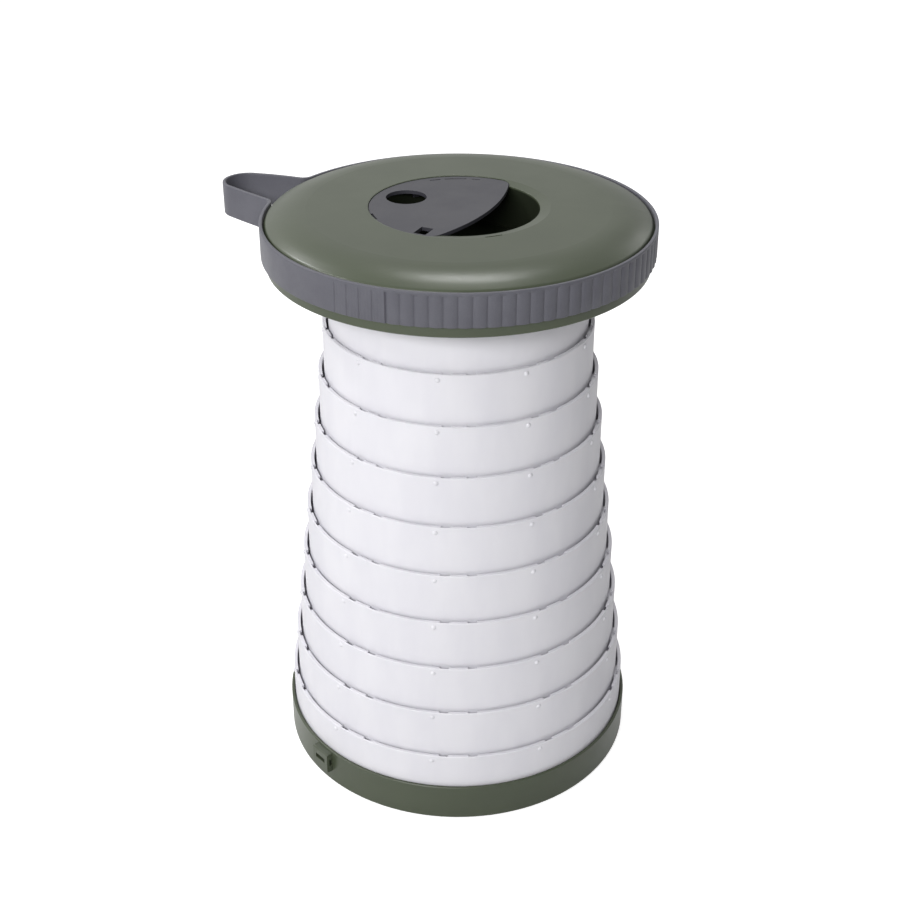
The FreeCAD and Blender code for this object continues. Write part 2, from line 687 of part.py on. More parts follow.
def build_seat_cover():
    """Make the seat's top shell with its grip recess, finger bowl, ribs and bosses."""
    body = new_body("seat_cover", COVER_LEVEL)
    top = COVER_HEIGHT
    crown_centre = f"({top} - crown_radius)"
    edge_across = "(cover_radius - edge_radius - crown_start)"
    edge_up = f"sqrt((crown_radius - edge_radius) ^ 2 - {edge_across} ^ 2)"
    edge_centre = f"({crown_centre} + {edge_up})"
    meet_across = f"(crown_start + {edge_across} * crown_radius / (crown_radius - edge_radius))"
    meet_up = f"({crown_centre} + {edge_up} * crown_radius / (crown_radius - edge_radius))"
    skirt_inner = "(skirt_radius - skirt_wall)"
    inner_crown = "(crown_radius - cover_wall)"
    inner_meet = f"({crown_centre} + sqrt({inner_crown} ^ 2 - ({skirt_inner} - crown_start) ^ 2))"
    strap_middle = f"({SKIRT_FOOT} + strap_lift + strap_depth / 2)"
    key_half = "(strap_key_depth / 2 + strap_key_clearance)"
    key_bottom = "(skirt_radius + strap_clearance - strap_key_reach - strap_key_clearance)"
    ledge_under = f"({GRIP_LEDGE} - ledge_thickness)"
    lip_foot = f"({top} - lip_fall)"
    bowl_foot = f"({top} - bowl_depth)"
    section = radial_sketch(body, "Section")
    outline(section, [
        ("0", bowl_foot), ("0", f"{bowl_foot} - bowl_wall"),
        ("bowl_radius_foot + bowl_wall", f"{bowl_foot} - bowl_wall"),
        ("bowl_radius_top + bowl_wall", ledge_under),
        ("recess_lip_radius + cover_wall", ledge_under),
        ("recess_lip_radius + 2 * cover_wall", f"{top} - cover_wall"),
        ("crown_start", f"{top} - cover_wall"),
        (skirt_inner, inner_meet), (skirt_inner, SKIRT_FOOT), ("skirt_radius", SKIRT_FOOT),
        ("skirt_radius", f"{strap_middle} - {key_half}"), (key_bottom, f"{strap_middle} - {key_half}"),
        (key_bottom, f"{strap_middle} + {key_half}"), ("skirt_radius", f"{strap_middle} + {key_half}"),
        ("skirt_radius", f"{edge_centre} - skirt_radius + cover_radius"),
        ("cover_radius", edge_centre), (meet_across, meet_up), ("crown_start", top),
        ("recess_lip_radius", top), ("bowl_radius_top", lip_foot),
        ("bowl_radius_foot", bowl_foot)],
        {6: (inner_crown, -1), 15: ("edge_radius", 1), 16: ("crown_radius", 1)})
    revolve(body, "Shell", section)

    seat = flat_sketch(body, "PlateSeatShape", top, "grip_angle")
    lens_outline(seat, "grip_clearance")
    pocket(body, "PlateSeat", seat, "grip_sunk + grip_depth")

    rib = radial_sketch(body, "RibShape", "180 / cover_rib_count")
    rib_top = f"({top} - cover_wall / 2)"
    rib_crown = "(crown_radius - cover_wall / 2)"
    rib_inner = "(recess_lip_radius + cover_wall / 2)"
    rib_outer = "(skirt_radius - skirt_wall / 2)"
    rib_end = f"({crown_centre} + sqrt({rib_crown} ^ 2 - ({rib_outer} - crown_start) ^ 2))"
    outline(rib, [
        (rib_inner, f"{top} - cover_rib_depth"), (rib_outer, f"{top} - cover_rib_depth"),
        (rib_outer, rib_end), ("crown_start", rib_top), (rib_inner, rib_top)],
        {2: (rib_crown, 1)})
    beam = pad(body, "Rib", rib, "2 * cover_rib_half", midplane=True)
    doc.recompute()
    repeat(body, "Ribs", [beam], "cover_rib_count")

    for name, radius, count in (("Outer", "seat_screw_outer", "seat_screw_outer_count"),
                                ("Inner", "seat_screw_inner", "seat_screw_inner_count")):
        boss = flat_sketch(body, f"{name}BossShape", turn=SCREW_TURN)
        circle_outline(boss, radius, "0", "boss_radius")
        post = pad(body, f"{name}Boss", boss, f"{top} - cover_wall + boss_sunk")
        bore = flat_sketch(body, f"{name}BoreShape", turn=SCREW_TURN)
        circle_outline(bore, radius, "0", "screw_radius")
        drill = pocket(body, f"{name}Bore", bore, "screw_length", upwards=True)
        doc.recompute()
        repeat(body, f"{name}Bosses", [post, drill], count)

    notch = flat_sketch(body, "EdgeNotchShape", top, "grip_angle + cover_notch_turn")
    sector_outline(notch, "recess_lip_radius - edge_notch_width / 2",
                   "recess_lip_radius + edge_notch_width / 2", "edge_notch_half_angle")
    pocket(body, "EdgeNotch", notch, "edge_notch_depth")

    for number, turn in enumerate(HOOK_TURNS, start=1):
        snap = radial_sketch(body, f"SnapHole{number}Shape", f"grip_angle + {turn}")
        hook_foot = f"({GRIP_LEDGE} - hook_length)"
        box_outline(snap, f"{HOOK_FACE} - bowl_wall", "bowl_radius_top + 2 * bowl_wall",
                    f"{hook_foot} - hook_clearance", f"{hook_foot} + hook_barb_depth + hook_play")
        pocket(body, f"SnapHole{number}", snap, "2 * hook_half_width + 2 * hook_clearance", midplane=True)
    return body


def build_seat_underplate():
    """Make the seat's lower half: flange, web, ribs, ring collar and screw bosses."""
    body = new_body("seat_underplate", WEB_LEVEL)
    rim_inner = "(flange_radius - flange_wall)"
    collar_inner = "(ring_radius_top + collar_clearance)"
    collar_outer = f"({collar_inner} + collar_wall)"
    seat_edge = f"({rim_inner} - flange_wall)"
    section = radial_sketch(body, "Section")
    outline(section, [
        ("0", "0"), (collar_inner, "0"), (collar_inner, "-collar_drop"),
        (collar_outer, "-collar_drop"), (collar_outer, "0"), (rim_inner, "0"),
        (rim_inner, "-flange_drop"), ("flange_radius - edge_break", "-flange_drop"),
        ("flange_radius", "edge_break - flange_drop"), ("flange_radius", "flange_rise"),
        (seat_edge, "flange_rise"), (seat_edge, "web_depth"),
        ("0", "web_depth")])
    revolve(body, "Plate", section)

    rib = radial_sketch(body, "RibShape")
    box_outline(rib, f"{collar_outer} - collar_wall / 2", f"{rim_inner} + flange_wall / 2",
                "-under_rib_depth", "web_depth / 2")
    beam = pad(body, "Rib", rib, "2 * under_rib_half", midplane=True)
    doc.recompute()
    repeat(body, "Ribs", [beam], "under_rib_count")

    boss = flat_sketch(body, "RingBossShape")
    circle_outline(boss, "ring_screw_radius", "0", "boss_radius")
    post = pad(body, "RingBoss", boss, "boss_height")
    bore = flat_sketch(body, "RingBoreShape")
    circle_outline(bore, "ring_screw_radius", "0", "screw_radius")
    drill = pocket(body, "RingBore", bore, "screw_length - mount_flange_depth", upwards=True)
    doc.recompute()
    repeat(body, "RingBosses", [post, drill], "ring_screw_count")

    for name, radius, count in (("Outer", "seat_screw_outer", "seat_screw_outer_count"),
                                ("Inner", "seat_screw_inner", "seat_screw_inner_count")):
        hole = flat_sketch(body, f"{name}HoleShape", turn=SCREW_TURN)
        circle_outline(hole, radius, "0", SCREW_HOLE)
        drill = pocket(body, f"{name}Hole", hole, "web_depth", upwards=True)
        doc.recompute()
        repeat(body, f"{name}Holes", [drill], count)
    return body


def build_grip_plate():
    """Make the plate the fingers and thumb pull on."""
    body = new_body("grip_plate", f"{COVER_LEVEL} + {GRIP_LEDGE}", "grip_angle")
    face = flat_sketch(body, "FaceShape")
    lens_outline(face, "0")
    pad(body, "Plate", face, "grip_depth")
    thumb = flat_sketch(body, "ThumbHoleShape", "grip_depth")
    circle_outline(thumb, "-thumb_hole_offset", "0", "thumb_hole_radius")
    pocket(body, "ThumbHole", thumb, "grip_depth")
    window = flat_sketch(body, "WindowShape", "grip_depth", "window_turn")
    box_outline(window, "window_radius_in", "window_radius_out",
                "-window_half_width", "window_half_width")
    pocket(body, "Window", window, "grip_depth")
    for number, (turn, half_angle) in enumerate(RIM_SLOTS, start=1):
        slot = flat_sketch(body, f"RimSlot{number}Shape", "grip_depth", turn)
        sector_outline(slot, "rim_slot_radius_in", "rim_slot_radius_out", half_angle)
        pocket(body, f"RimSlot{number}", slot, "grip_depth / 2")

    notch = flat_sketch(body, "EdgeNotchShape", "grip_depth", "plate_notch_turn")
    sector_outline(notch, "grip_radius - edge_notch_width", "grip_radius + edge_notch_width",
                   "edge_notch_half_angle")
    pocket(body, "EdgeNotch", notch, "edge_notch_depth")

    for number, turn in enumerate(HOOK_TURNS, start=1):
        hook = radial_sketch(body, f"Hook{number}Shape", turn)
        outline(hook, [
            (f"{HOOK_FACE} - hook_wall", "grip_depth / 2"),
            (f"{HOOK_FACE} - hook_wall", "-hook_length"), (HOOK_FACE, "-hook_length"),
            (f"{HOOK_FACE} + hook_barb", "hook_barb_depth / 2 - hook_length"),
            (f"{HOOK_FACE} + hook_barb", "hook_barb_depth - hook_length"),
            (HOOK_FACE, "hook_barb_depth - hook_length"), (HOOK_FACE, "grip_depth / 2")])
        pad(body, f"Hook{number}", hook, "2 * hook_half_width", midplane=True)
    return body


def upright_edges(shape, radius):
    """Name the upright straight edges at a radius."""
    found = []
    for number, edge in enumerate(shape.Edges, start=1):
        if not isinstance(edge.Curve, Part.Line):
            continue
        first, last = (vertex.Point for vertex in edge.Vertexes)
        run = math.hypot(first.x - last.x, first.y - last.y)
        if run < CLOSE and abs(math.hypot(first.x, first.y) - radius) < CLOSE:
            found.append(f"Edge{number}")
    return found


def round_edges(body, name, base, edges, radius):
    """Round named edges of a feature."""
    feature = body.newObject("PartDesign::Fillet", name)
    feature.Base = (base, edges)
    bind(feature, "Radius", radius)
    doc.recompute()
    return feature


def loop_side(radius):
    """Give a side of the loop: where its tip starts and ends, and its legs' feet."""
    across = f"(loop_reach - loop_tip_radius + {radius} * sin(loop_leg_angle))"
    half = f"({radius} * cos(loop_leg_angle))"
    foot_half = f"({half} + ({across} - {LEG_FOOT}) * tan(loop_leg_angle))"
    return [(LEG_FOOT, f"loop_offset - {foot_half}"), (across, f"loop_offset - {half}"),
            (across, f"loop_offset + {half}"), (LEG_FOOT, f"loop_offset + {foot_half}")]


def build_carry_strap():
    """Make the ribbed band, which runs out as a loop and back, as one moulding."""
    body = new_body("carry_strap", STRAP_LEVEL, "loop_angle")
    loop = flat_sketch(body, "LoopShape")
    outline(loop, loop_side("loop_tip_radius"), {1: ("loop_tip_radius", 1)})
    pad(body, "Loop", loop, "strap_depth")
    clear = flat_sketch(body, "SeatRoomShape")
    circle_outline(clear, "0", "0", "strap_inner + strap_wall / 2")
    pocket(body, "SeatRoom", clear, "strap_depth", upwards=True)
    ring = radial_sketch(body, "BandSection")
    box_outline(ring, "strap_inner", "strap_outer", "0", "strap_depth")
    revolve(body, "Band", ring)
    hole = flat_sketch(body, "LoopHoleShape")
    outline(hole, loop_side("(loop_tip_radius - strap_wall)"),
            {1: ("loop_tip_radius - strap_wall", 1)})
    opened = pocket(body, "LoopHole", hole, "strap_depth", upwards=True)
    doc.recompute()
    roots = round_edges(body, "LoopRoots", opened,
                        upright_edges(opened.Shape, value("strap_outer")), "loop_root_radius")
    round_edges(body, "LoopBends", roots,
                upright_edges(roots.Shape, value("strap_inner")), "loop_root_radius + strap_wall")

    key = radial_sketch(body, "KeySection", "key_gap_half_angle")
    box_outline(key, "strap_inner - strap_key_reach", "strap_inner + strap_wall / 2",
                "strap_depth / 2 - strap_key_depth / 2", "strap_depth / 2 + strap_key_depth / 2")
    bead = revolve(body, "Key", key)
    bind(bead, "Angle", "360 - 2 * key_gap_half_angle")

    groove = flat_sketch(body, "GrooveShape", turn="rib_start_angle")
    outline(groove, [
        ("strap_outer - rib_groove_depth", "0"),
        ("strap_outer + rib_groove_depth", "-2 * rib_groove_half"),
        ("strap_outer + rib_groove_depth", "2 * rib_groove_half")])
    cut = pocket(body, "Groove", groove, "strap_depth - rib_border", upwards=True)
    doc.recompute()
    repeat(body, "Ribs", [cut], "rib_copies", "360 / rib_count * (rib_copies - 1)")
    return body


def turned_shape(sections, slot_span, slot_depth):
    """Turn a screw about Z from (level, radius) pairs, with a cross slot in its head at the start."""
    head = sections[0][0]
    points = [FreeCAD.Vector(0, 0, head)]
    points += [FreeCAD.Vector(radius, 0, level) for level, radius in sections]
    points += [FreeCAD.Vector(0, 0, sections[-1][0]), points[0]]
    solid = Part.Face(Part.makePolygon(points)).revolve(
        FreeCAD.Vector(), FreeCAD.Vector(0, 0, 1), 360)
    if solid.Volume < 0:
        solid.reverse()
    width = value("driver_slot")
    for across, along in ((width, slot_span), (slot_span, width)):
        cutter = Part.makeBox(across, along, 2 * slot_depth,
                              FreeCAD.Vector(-across / 2, -along / 2, head - slot_depth))
        solid = solid.cut(cutter)
    return solid


def pan_head_screw():
    """Make one screw pointing up, its head's seat at zero."""
    head = value("screw_head_radius")
    depth = value("screw_head_depth")
    shank = value("screw_radius")
    length = value("screw_length")
    return turned_shape([(-depth, value("screw_head_flat")), (-depth / 2, head), (0, head), (0, shank),
                         (length - shank, shank), (length, value("screw_tip_radius"))],
                        value("driver_span"), depth / 2)


def group(label, solids, level):
    """Put a group of separate solids in one feature at a level."""
    feature = doc.addObject("Part::Feature", label)
    feature.Label = label
    feature.Shape = Part.makeCompound(solids)
    feature.Placement = FreeCAD.Placement(FreeCAD.Vector(0, 0, value(level)), FreeCAD.Rotation())
    return feature


def around(solid, radius, count, first_turn=0.0):
    """Copy a solid round the Z axis at a radius."""
    copies = []
    for number in range(count):
        copy = solid.copy()
        copy.translate(FreeCAD.Vector(radius, 0, 0))
        copy.rotate(FreeCAD.Vector(), FreeCAD.Vector(0, 0, 1), first_turn + number * 360 / count)
        copies.append(copy)
    return copies


def build_screws():
    """Make the two groups of seat screws."""
    screw = pan_head_screw()
    turn = value(SCREW_TURN)
    screws = around(screw, value("seat_screw_outer"), int(value("seat_screw_outer_count")), turn)
    screws += around(screw, value("seat_screw_inner"), int(value("seat_screw_inner_count")), turn)
    ring_screws = around(screw, value("ring_screw_radius"), int(value("ring_screw_count")))
    return [group("seat_screws", screws, WEB_LEVEL),
            group("ring_screws", ring_screws, f"{WEB_LEVEL} - mount_flange_depth")]


def build_keeper_screws():
    """Make the two countersunk screws that hold the keeper."""
    radius = value("keeper_screw_radius")
    screw = turned_shape([(0, value("keeper_head_radius")), (value("keeper_head_depth"), radius),
                          (value("keeper_screw_length - keeper_screw_radius"), radius),
                          (value("keeper_screw_length"), value("keeper_tip_radius"))],
                         value("keeper_driver_span"), value("keeper_head_depth / 2"))
    screws = []
    for level in (KEEPER_LOW_SCREW, KEEPER_HIGH_SCREW):
        copy = screw.copy()
        copy.rotate(FreeCAD.Vector(), FreeCAD.Vector(0, 1, 0), 90)
        copy.translate(FreeCAD.Vector(value("base_inner_radius"), 0, value(level)))
        copy.rotate(FreeCAD.Vector(), FreeCAD.Vector(0, 0, 1), value("keeper_angle"))
        screws.append(copy)
    return group("keeper_screws", screws, "foot_proud")


def build_feet():
    """Make the anti-slip pads, each sunk in its socket."""
    clearance = value("foot_clearance")
    inner = value("foot_radius_in") + clearance
    outer = value("foot_radius_out") - clearance
    half = value("foot_half_angle") - math.degrees(clearance / inner)
    height = value("foot_proud + foot_sunk")
    tube = Part.makeCylinder(outer, height, FreeCAD.Vector(), FreeCAD.Vector(0, 0, 1), 2 * half)
    tube = tube.cut(Part.makeCylinder(inner, height))
    tube.rotate(FreeCAD.Vector(), FreeCAD.Vector(0, 0, 1), -half)
    pads = around(tube, 0, int(value("foot_count")))
    pads.append(Part.makeCylinder(value("centre_foot_radius") - clearance, height))
    return group("base_feet", pads, "0")


pieces = [build_ring(number) for number in range(1, RING_COUNT + 1)]
pieces += [build_base_pan(), build_strap_keeper(), build_keeper_screws(), build_feet()]
pieces += [build_seat_underplate(), build_seat_cover(), build_grip_plate(), build_carry_strap()]
pieces += build_screws()
doc.recompute()

for item in doc.Objects:
    if "Invalid" in item.State or "Error" in item.State:
        raise RuntimeError(f"{item.Label} failed: {item.State}")

os.makedirs("parts", exist_ok=True)
for piece in pieces:
    shape = piece.Shape
    if shape.isNull() or not shape.isValid():
        raise RuntimeError(f"{piece.Label} has no valid shape")
    shape.exportStep(f"parts/{piece.Label}.step")
    box = shape.BoundBox
    print(f"{piece.Label}: {len(shape.Solids)} solids, {shape.Volume / 1000:.1f} cm3, "
          f"z {box.ZMin:.1f} to {box.ZMax:.1f}, x {box.XMin:.1f} to {box.XMax:.1f}")
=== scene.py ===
import logging
import math
from dataclasses import dataclass
from enum import Enum
from typing import Any, Callable

import bpy
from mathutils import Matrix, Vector


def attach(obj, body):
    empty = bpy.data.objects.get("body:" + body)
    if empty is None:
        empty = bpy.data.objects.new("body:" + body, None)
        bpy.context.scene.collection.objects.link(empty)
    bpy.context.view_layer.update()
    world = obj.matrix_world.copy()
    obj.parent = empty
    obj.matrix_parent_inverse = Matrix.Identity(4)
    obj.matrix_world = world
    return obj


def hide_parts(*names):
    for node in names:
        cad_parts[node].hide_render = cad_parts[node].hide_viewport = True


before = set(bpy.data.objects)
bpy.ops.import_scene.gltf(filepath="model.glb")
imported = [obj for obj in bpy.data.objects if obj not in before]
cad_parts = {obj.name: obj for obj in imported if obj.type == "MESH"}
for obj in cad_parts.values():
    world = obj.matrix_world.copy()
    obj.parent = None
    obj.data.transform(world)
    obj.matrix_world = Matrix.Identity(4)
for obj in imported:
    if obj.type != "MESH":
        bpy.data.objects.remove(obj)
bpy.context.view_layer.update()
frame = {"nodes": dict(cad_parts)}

log = logging.getLogger("stool")

MM = 0.001
WHITE_LIGHT = (1, 1, 1, 1)

# The patterns that every moulding shares. A span is the part of a pattern's levels
# over which the look changes.
DRIFT_DETAIL = 3.0
DRIFT_ROUGHNESS = 0.55
DRIFT_SPAN = (0.2, 0.8)
GLOSS_SPAN = (0.1, 0.9)
GRAIN_DETAIL = 2.0
GRAIN_ROUGHNESS = 0.6
SPECKLE_SPAN = (0.35, 0.65)
SHEEN_ROUGHNESS = 0.4
EDGE_SAMPLES = 4
# The height over which the painted shade in the well fades in.
PAINTED_SHADE_FADE_MM = 1.0

# The colour sockets of a mixing node, by their order on it.
MIX_SHARE, MIX_FIRST, MIX_SECOND, MIX_RESULT = 0, 6, 7, 2


def linear(hex_code: str) -> tuple[float, float, float, float]:
    """Turn an sRGB hex colour into linear light.

    Args:
        hex_code: six hex digits, with or without a leading #.

    Returns:
        Red, green, blue and an alpha of 1.
    """
    digits = hex_code.lstrip("#")
    channels = []
    for start in (0, 2, 4):
        shade = int(digits[start:start + 2], 16) / 255
        channels.append(shade / 12.92 if shade <= 0.04045 else ((shade + 0.055) / 1.055) ** 2.4)
    return channels[0], channels[1], channels[2], 1.0


def add_node(tree: bpy.types.NodeTree, kind: str, settings: dict[str, Any],
             inputs: dict[str | int, Any]) -> bpy.types.Node:
    """Add a node with its settings and links.

    Args:
        tree: the node tree that gets it.
        kind: the node's type name.
        settings: property values by name.
        inputs: for each socket, a plain value or the output that feeds it.

    Returns:
        The new node.
    """
    node = tree.nodes.new(kind)
    for name, setting in settings.items():
        setattr(node, name, setting)
    for name, given in inputs.items():
        socket = node.inputs[name]
        if isinstance(given, bpy.types.NodeSocket):
            tree.links.new(given, socket)
        else:
            socket.default_value = given
    return node


def add_noise(tree: bpy.types.NodeTree, place: bpy.types.NodeSocket, patch_mm: float,
              detail: float, roughness: float = 0.5) -> bpy.types.NodeSocket:
    """Add a cloudy pattern.

    Args:
        tree: the node tree.
        place: the output that carries the place on the piece.
        patch_mm: the size of its patches.
        detail: how many finer layers it has.
        roughness: how strong the finer layers are.

    Returns:
        The output with the pattern's level, from 0 to 1.
    """
    return add_node(tree, "ShaderNodeTexNoise", {}, {
        "Vector": place, "Scale": 1 / (patch_mm * MM), "Detail": detail,
        "Roughness": roughness}).outputs["Fac"]


def add_range(tree: bpy.types.NodeTree, value: bpy.types.NodeSocket, span: tuple[float, float],
              result: tuple[float, float], interpolation: str = "LINEAR") -> bpy.types.NodeSocket:
    """Stretch a span of levels over another, and hold it at the ends.

    Args:
        tree: the node tree.
        value: the output that carries the level.
        span: the levels at which the result begins and ends.
        result: the first and the last result.
        interpolation: the kind of the way between them.

    Returns:
        The output with the result.
    """
    return add_node(tree, "ShaderNodeMapRange", {"interpolation_type": interpolation}, {
        "Value": value, "From Min": span[0], "From Max": span[1],
        "To Min": result[0], "To Max": result[1]}).outputs["Result"]


def scaled(tree: bpy.types.NodeTree, colour: bpy.types.NodeSocket,
           factor: bpy.types.NodeSocket) -> bpy.types.NodeSocket:
    """Make a colour lighter or darker.

    Args:
        tree: the node tree.
        colour: the output that carries the colour.
        factor: the output that carries the factor on it.

    Returns:
        The output with the new colour.
    """
    return add_node(tree, "ShaderNodeVectorMath", {"operation": "SCALE"}, {
        0: colour, "Scale": factor}).outputs["Vector"]


def new_material(name: str) -> tuple[bpy.types.Material, bpy.types.NodeTree]:
    """Make a material with an empty node tree.

    Args:
        name: its name.

    Returns:
        The material and its node tree.
    """
    material = bpy.data.materials.new(name)
    material.use_nodes = True
    material.node_tree.nodes.clear()
    return material, material.node_tree


@dataclass(frozen=True)
class Moulding:
    """A moulded plastic or rubber, coloured in the mass.

    Colour drifts slowly over the piece, gloss varies where the melt met the
    tool, and a fine grain breaks up the reflections. Sharp edges are softened
    as a tool leaves them. A well round the Z axis can get painted shade: its
    colour and its mirror-like share are darkened there, to stand in for shade.

    Attributes:
        name: the material's name.
        colour: its main colour, as sRGB hex.
        drift_colour: the colour it drifts to.
        drift_mm: the size of the slow patches.
        grain_mm: the size of the fine grain.
        grain_depth_mm: how deep the grain is.
        roughness_low: the roughness where the gloss is highest.
        roughness_high: the roughness where it is lowest.
        ior: the index of refraction.
        shine: the strength of the mirror-like share, 0.5 for plain plastic.
        streak_stretch: how much longer than wide the patches are, upwards.
        sheen: the pale haze where light grazes it.
        speckle: how much the grain shows in the colour.
        edge_mm: the radius of its softened edges.
        well_radius_mm: the radius of the well that gets painted shade, or 0 for none.
        well_level_mm: the height under which the well begins.
        painted_well_shade: the painted shade in the well, as the share of light it still gives back.
    """

    name: str
    colour: str
    drift_colour: str
    drift_mm: float
    grain_mm: float
    grain_depth_mm: float
    roughness_low: float
    roughness_high: float
    ior: float = 1.49
    shine: float = 0.5
    streak_stretch: float = 1.0
    sheen: float = 0.0
    speckle: float = 0.0
    edge_mm: float = 0.3
    well_radius_mm: float = 0.0
    well_level_mm: float = 0.0
    painted_well_shade: float = 1.0

    def build(self) -> bpy.types.Material:
        """Make the material.

        Returns:
            The material, ready to wear.
        """
        material, tree = new_material(self.name)
        place = add_node(tree, "ShaderNodeTexCoord", {}, {}).outputs["Object"]
        # Flow marks run along the piece, so the pattern is drawn out upwards.
        flow = add_node(tree, "ShaderNodeMapping", {},
                        {"Vector": place, "Scale": (1.0, 1.0, 1.0 / self.streak_stretch)})
        drift = add_noise(tree, flow.outputs["Vector"], self.drift_mm, DRIFT_DETAIL, DRIFT_ROUGHNESS)
        grain = add_noise(tree, place, self.grain_mm, GRAIN_DETAIL, GRAIN_ROUGHNESS)
        colour = self.colour_pattern(tree, drift, grain)
        shine: float | bpy.types.NodeSocket = self.shine
        # Painted shade: in the finger bowl the colour and the mirror-like share are darkened, standing in
        # for the shade of a deep bowl.
        if self.well_radius_mm:
            painted_shade = self.painted_shade_factor(tree, place)
            colour = scaled(tree, colour, painted_shade)
            shine = add_node(tree, "ShaderNodeMath", {"operation": "MULTIPLY"}, {
                0: painted_shade, 1: self.shine}).outputs[0]
        gloss = add_range(tree, drift, GLOSS_SPAN, (self.roughness_low, self.roughness_high),
                          "SMOOTHERSTEP")
        soft_edge = add_node(tree, "ShaderNodeBevel", {"samples": EDGE_SAMPLES}, {
            "Radius": self.edge_mm * MM})
        bump = add_node(tree, "ShaderNodeBump", {}, {
            "Height": grain, "Strength": 1.0, "Distance": self.grain_depth_mm * MM,
            "Normal": soft_edge.outputs["Normal"]})
        shader = add_node(tree, "ShaderNodeBsdfPrincipled", {}, {
            "Base Color": colour, "Roughness": gloss, "Normal": bump.outputs["Normal"],
            "IOR": self.ior, "Specular IOR Level": shine, "Sheen Weight": self.sheen,
            "Sheen Roughness": SHEEN_ROUGHNESS})
        add_node(tree, "ShaderNodeOutputMaterial", {}, {"Surface": shader.outputs["BSDF"]})
        return material

    def colour_pattern(self, tree: bpy.types.NodeTree, drift: bpy.types.NodeSocket,
                       grain: bpy.types.NodeSocket) -> bpy.types.NodeSocket:
        """Let the colour drift over the piece, with specks where the grain shows.

        Args:
            tree: the node tree.
            drift: the output with the slow patches.
            grain: the output with the fine grain.

        Returns:
            The output with the colour.
        """
        level = add_range(tree, drift, DRIFT_SPAN, (0.0, 1.0), "SMOOTHERSTEP")
        colour = add_node(tree, "ShaderNodeMix", {"data_type": "RGBA"}, {
            MIX_SHARE: level, MIX_FIRST: linear(self.colour),
            MIX_SECOND: linear(self.drift_colour)}).outputs[MIX_RESULT]
        if not self.speckle:
            return colour
        speck = add_range(tree, grain, SPECKLE_SPAN, (1.0 - self.speckle, 1.0 + self.speckle))
        return scaled(tree, colour, speck)

    def painted_shade_factor(self, tree: bpy.types.NodeTree,
                    place: bpy.types.NodeSocket) -> bpy.types.NodeSocket:
        """Give the share of light that each place gives back.

        Args:
            tree: the node tree.
            place: the output that carries the place on the piece.

        Returns:
            The output with the share: 1 outside the well and the painted well shade inside it.
        """
        split = add_node(tree, "ShaderNodeSeparateXYZ", {}, {"Vector": place})
        flat = add_node(tree, "ShaderNodeCombineXYZ", {}, {
            "X": split.outputs["X"], "Y": split.outputs["Y"]})
        reach = add_node(tree, "ShaderNodeVectorMath", {"operation": "LENGTH"}, {
            0: flat.outputs["Vector"]})
        inside = add_node(tree, "ShaderNodeMath", {"operation": "LESS_THAN"}, {
            0: reach.outputs["Value"], 1: self.well_radius_mm * MM})
        fade = ((self.well_level_mm - PAINTED_SHADE_FADE_MM) * MM, self.well_level_mm * MM)
        depth = add_range(tree, split.outputs["Z"], fade, (1.0, 0.0))
        both = add_node(tree, "ShaderNodeMath", {"operation": "MULTIPLY"}, {
            0: inside.outputs[0], 1: depth})
        return add_range(tree, both.outputs[0], (0.0, 1.0), (1.0, self.painted_well_shade))


@dataclass(frozen=True)
class ZincPlatedSteel:
    """Zinc plated steel of screws: dull silver, worn in patches, with fine turning marks."""

    name: str = "zinc_plated_steel"
    colour: str = "B4B8BC"
    worn_colour: str = "8C9094"
    patch_mm: float = 1.5
    turning_mm: float = 0.35
    turning_depth_mm: float = 0.01
    patch_detail: float = 3.0
    turning_detail: float = 1.0
    roughness_low: float = 0.28
    roughness_high: float = 0.5

    def build(self) -> bpy.types.Material:
        """Make the material.

        Returns:
            The material, ready to wear.
        """
        material, tree = new_material(self.name)
        place = add_node(tree, "ShaderNodeTexCoord", {}, {}).outputs["Object"]
        patches = add_noise(tree, place, self.patch_mm, self.patch_detail)
        turning = add_noise(tree, place, self.turning_mm, self.turning_detail)
        colour = add_node(tree, "ShaderNodeMix", {"data_type": "RGBA"}, {
            MIX_SHARE: patches, MIX_FIRST: linear(self.colour),
            MIX_SECOND: linear(self.worn_colour)})
        gloss = add_range(tree, patches, (0.0, 1.0), (self.roughness_low, self.roughness_high))
        bump = add_node(tree, "ShaderNodeBump", {}, {
            "Height": turning, "Distance": self.turning_depth_mm * MM})
        shader = add_node(tree, "ShaderNodeBsdfPrincipled", {}, {
            "Base Color": colour.outputs[MIX_RESULT], "Metallic": 1.0,
            "Roughness": gloss, "Normal": bump.outputs["Normal"]})
        add_node(tree, "ShaderNodeOutputMaterial", {}, {"Surface": shader.outputs["BSDF"]})
        return material


# Polypropylene dyed olive: satin, with soft broad reflections. The well is the finger bowl, darkened with
# painted shade.
OLIVE_POLYPROPYLENE = Moulding(
    "olive_polypropylene", colour="454C3B", drift_colour="424939", drift_mm=45, grain_mm=0.8,
    grain_depth_mm=0.015, roughness_low=0.285, roughness_high=0.34,
    well_radius_mm=52, well_level_mm=395.0, painted_well_shade=0.22)
# Polypropylene dyed white: matt satin, very even, faint upright flow marks.
WHITE_POLYPROPYLENE = Moulding(
    "white_polypropylene", colour="DCDBE0", drift_colour="D7D6DC", drift_mm=22, grain_mm=1.1,
    grain_depth_mm=0.02, roughness_low=0.42, roughness_high=0.52, streak_stretch=3.0)
# ABS dyed graphite, from a spark-eroded tool: an even fine grain that keeps it matt.
GRAPHITE_ABS = Moulding(
    "graphite_abs", colour="38383E", drift_colour="34343B", drift_mm=30, grain_mm=0.5,
    grain_depth_mm=0.05, roughness_low=0.4, roughness_high=0.5, ior=1.54, speckle=0.04)
# Thermoplastic rubber: matt, slightly dusty where light grazes it.
STRAP_RUBBER = Moulding(
    "thermoplastic_rubber", colour="57575F", drift_colour="52525A", drift_mm=18, grain_mm=0.7,
    grain_depth_mm=0.04, roughness_low=0.5, roughness_high=0.62, ior=1.5, sheen=0.12, speckle=0.04)
